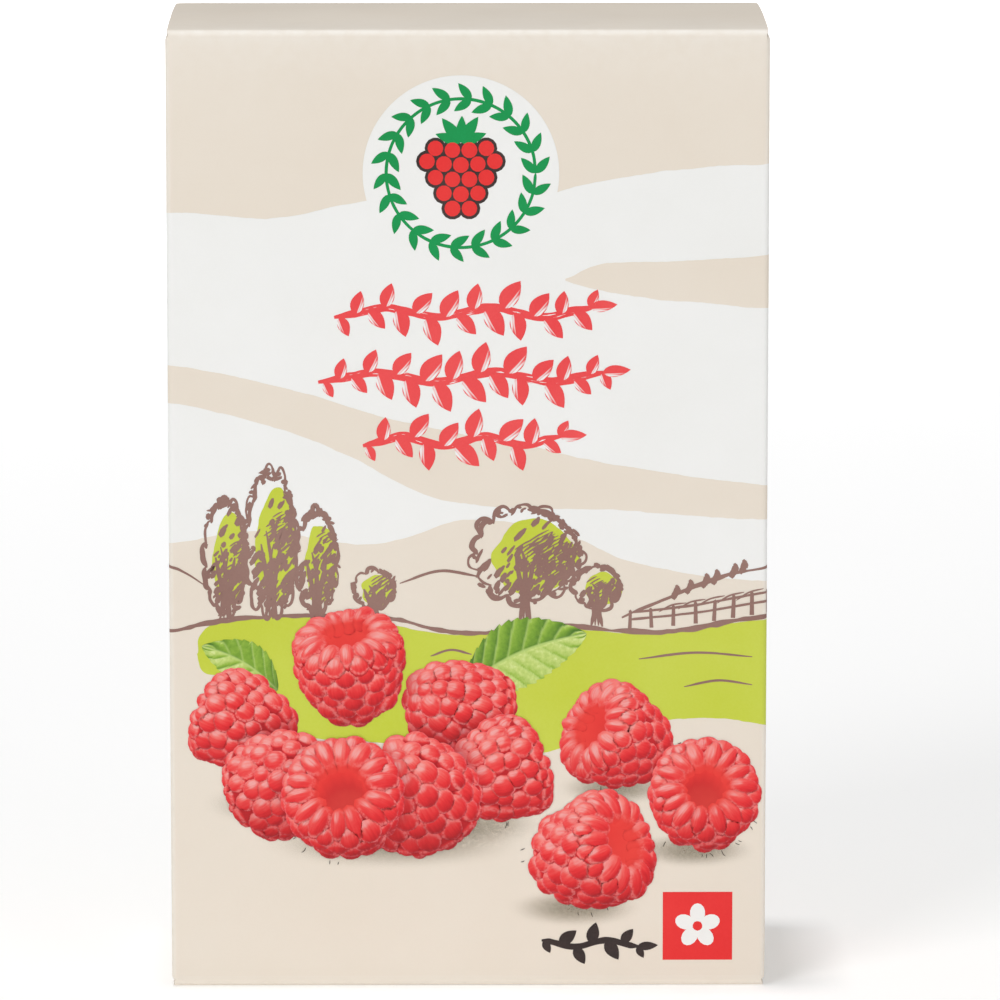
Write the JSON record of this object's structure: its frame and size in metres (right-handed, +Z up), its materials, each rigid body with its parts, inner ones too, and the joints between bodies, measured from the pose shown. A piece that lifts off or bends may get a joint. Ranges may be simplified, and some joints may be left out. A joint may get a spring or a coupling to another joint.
{
  "type": "shut folding carton of raspberries",
  "caption": "Upright shut folding carton filled with frozen raspberries, with rounded creases, glued end flaps, a glued back seam and a printed front of colour fields and berries.",
  "frame": {"origin": "middle of the base, on the surface that the carton stands on", "axes": "+Z up the carton, -Y out of the printed front, +X to the right of someone facing the front"},
  "size_m": [0.105, 0.0492, 0.17],
  "materials": {
    "carton_board": "coated folding boxboard printed warm cream, with a satin water-based varnish",
    "ink_white": "bare white coated board in the print, satin varnish",
    "ink_green": "offset print in lime green, satin varnish",
    "ink_brown": "offset print in soft brown, satin varnish",
    "ink_red": "offset print in berry red, satin varnish"
  },
  "bodies": {
    "root": {"carton": "carton_board"}
  },
  "joints": []
}
